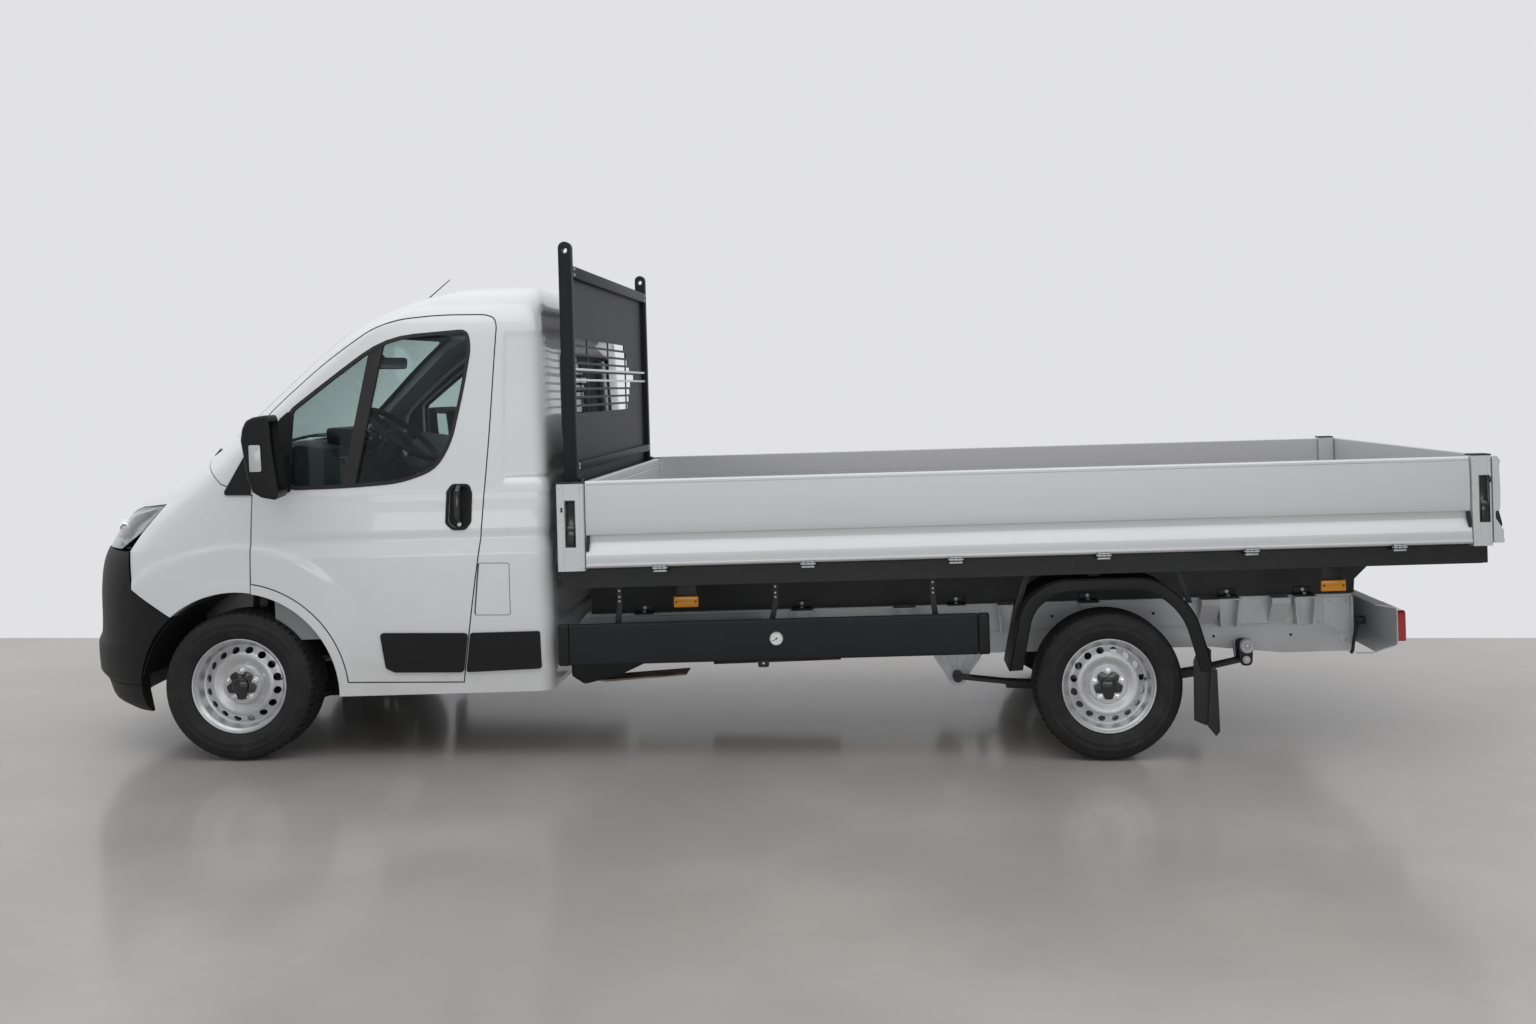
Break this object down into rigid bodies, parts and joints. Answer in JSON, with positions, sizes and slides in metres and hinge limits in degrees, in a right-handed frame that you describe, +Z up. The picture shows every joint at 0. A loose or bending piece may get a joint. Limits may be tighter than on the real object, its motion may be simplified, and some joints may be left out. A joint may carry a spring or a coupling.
{
  "type": "flatbed truck",
  "caption": "Light flatbed truck with a white single cab, ladder frame, aluminium dropside body, mesh headboard, side guards and opening doors, bonnet, side boards and tailgate.",
  "frame": {"origin": "on the floor, in the middle of the truck's overall length and on its centre line", "axes": "+X to the rear of the truck, +Y to its right, +Z up; the truck faces -X and stands 1.61 degrees nose down on its wheels, as in the picture"},
  "size_m": [6.793, 2.66, 2.409],
  "materials": {
    "aluminium": "anodised",
    "anthracite": "dark grey powder coat",
    "black_plastic": "textured black plastic",
    "clear_lens": "clear lens",
    "dark_steel": "black paint",
    "deck_board": "film-faced brown board",
    "exhaust_steel": "stained steel",
    "frame_grey": "light grey paint",
    "glass": "tinted",
    "interior": "grained dark grey plastic",
    "red_lens": "red lens",
    "seat_cloth": "dark grey cloth",
    "silver_steel": "silver wheel paint",
    "tyre_rubber": "matt black rubber",
    "white_paint": "gloss white paint"
  },
  "bodies": {
    "truck": {"arch_liner_left": "black_plastic", "arch_liner_right": "black_plastic", "bed_floor": "deck_board", "bed_subframe": "dark_steel", "cab_shell": "white_paint", "chassis_frame": "frame_grey", "dashboard": "interior", "driver_seat": "seat_cloth", "engine_block": "dark_steel", "exhaust": "exhaust_steel", "front_board": "aluminium", "front_bumper": "black_plastic", "front_subframe": "dark_steel", "fuel_tank": "black_plastic", "headboard": "anthracite", "headlamp_left": "clear_lens", "headlamp_right": "clear_lens", "light_bar": "frame_grey", "passenger_bench": "seat_cloth", "rear_axle": "dark_steel", "rear_mudguard_left": "black_plastic", "rear_mudguard_right": "black_plastic", "rear_post_left": "aluminium", "rear_post_right": "aluminium", "rear_window": "glass", "side_guard_left": "black_plastic", "side_guard_right": "black_plastic", "steering_wheel": "interior", "tail_lamp_left": "red_lens", "tail_lamp_right": "red_lens", "windscreen": "glass", "wing_left": "white_paint", "wing_right": "white_paint"},
    "knuckle_left": {"knuckle_left": "dark_steel"},
    "wheel_front_left": {"tyre_front_left": "tyre_rubber", "rim_front_left": "silver_steel"},
    "wheel_rear_left": {"tyre_rear_left": "tyre_rubber", "rim_rear_left": "silver_steel"},
    "door_left": {"door_left": "white_paint", "door_glass_left": "glass", "mirror_left": "black_plastic"},
    "dropside_left": {"dropside_left": "aluminium"},
    "knuckle_right": {"knuckle_right": "dark_steel"},
    "wheel_front_right": {"tyre_front_right": "tyre_rubber", "rim_front_right": "silver_steel"},
    "wheel_rear_right": {"tyre_rear_right": "tyre_rubber", "rim_rear_right": "silver_steel"},
    "door_right": {"door_right": "white_paint", "door_glass_right": "glass", "mirror_right": "black_plastic"},
    "dropside_right": {"dropside_right": "aluminium"},
    "hood": {"hood": "white_paint"},
    "tailgate": {"tailgate": "aluminium"},
    "fuel_flap": {"fuel_flap": "white_paint"}
  },
  "joints": [
    {"name": "steer_left", "type": "hinge", "parent": "truck", "child": "knuckle_left", "pos_m": [-2.4417, -0.76408, 0.347], "axis": [-0.0277, 0.1736, 0.9844], "range_deg": [-35, 35]},
    {"name": "steer_right", "type": "hinge", "parent": "truck", "child": "knuckle_right", "pos_m": [-2.4417, 0.76408, 0.347], "axis": [-0.0277, -0.1736, 0.9844], "range_deg": [-35, 35]},
    {"name": "spin_front_left", "type": "hinge", "parent": "knuckle_left", "child": "wheel_front_left", "pos_m": [-2.4417, -0.905, 0.347], "axis": [0, 1, 0], "continuous": true},
    {"name": "spin_front_right", "type": "hinge", "parent": "knuckle_right", "child": "wheel_front_right", "pos_m": [-2.4417, 0.905, 0.347], "axis": [0, 1, 0], "continuous": true},
    {"name": "spin_rear_left", "type": "hinge", "parent": "truck", "child": "wheel_rear_left", "pos_m": [1.5933, -0.905, 0.347], "axis": [0, 1, 0], "continuous": true},
    {"name": "spin_rear_right", "type": "hinge", "parent": "truck", "child": "wheel_rear_right", "pos_m": [1.5933, 0.905, 0.347], "axis": [0, 1, 0], "continuous": true},
    {"name": "door_left_hinge", "type": "hinge", "parent": "truck", "child": "door_left", "pos_m": [-2.37327, -1.026, 0.90214], "axis": [0.0281, 0, -0.9996], "range_deg": [0, 70]},
    {"name": "door_right_hinge", "type": "hinge", "parent": "truck", "child": "door_right", "pos_m": [-2.37327, 1.026, 0.90214], "axis": [-0.0281, 0, 0.9996], "range_deg": [0, 70]},
    {"name": "hood_hinge", "type": "hinge", "parent": "truck", "child": "hood", "pos_m": [-2.81104, 0, 1.38603], "axis": [0, 1, 0], "range_deg": [0, 60]},
    {"name": "fuel_flap_hinge", "type": "hinge", "parent": "truck", "child": "fuel_flap", "pos_m": [-1.33453, -1.0265, 0.80129], "axis": [-0.0756, 0, -0.9971], "range_deg": [0, 90]},
    {"name": "dropside_left_fold", "type": "hinge", "parent": "truck", "child": "dropside_left", "pos_m": [1.21205, -1.106, 0.9589], "axis": [0.9996, 0, 0.0281], "range_deg": [0, 175]},
    {"name": "dropside_right_fold", "type": "hinge", "parent": "truck", "child": "dropside_right", "pos_m": [1.21205, 1.106, 0.9589], "axis": [-0.9996, 0, -0.0281], "range_deg": [0, 175]},
    {"name": "tailgate_fold", "type": "hinge", "parent": "truck", "child": "tailgate", "pos_m": [3.38569, 0, 1.01999], "axis": [0, 1, 0], "range_deg": [0, 175]}
  ],
  "couplings": [
    {"joint": "steer_right", "follows": "steer_left", "ratio": 1}
  ]
}
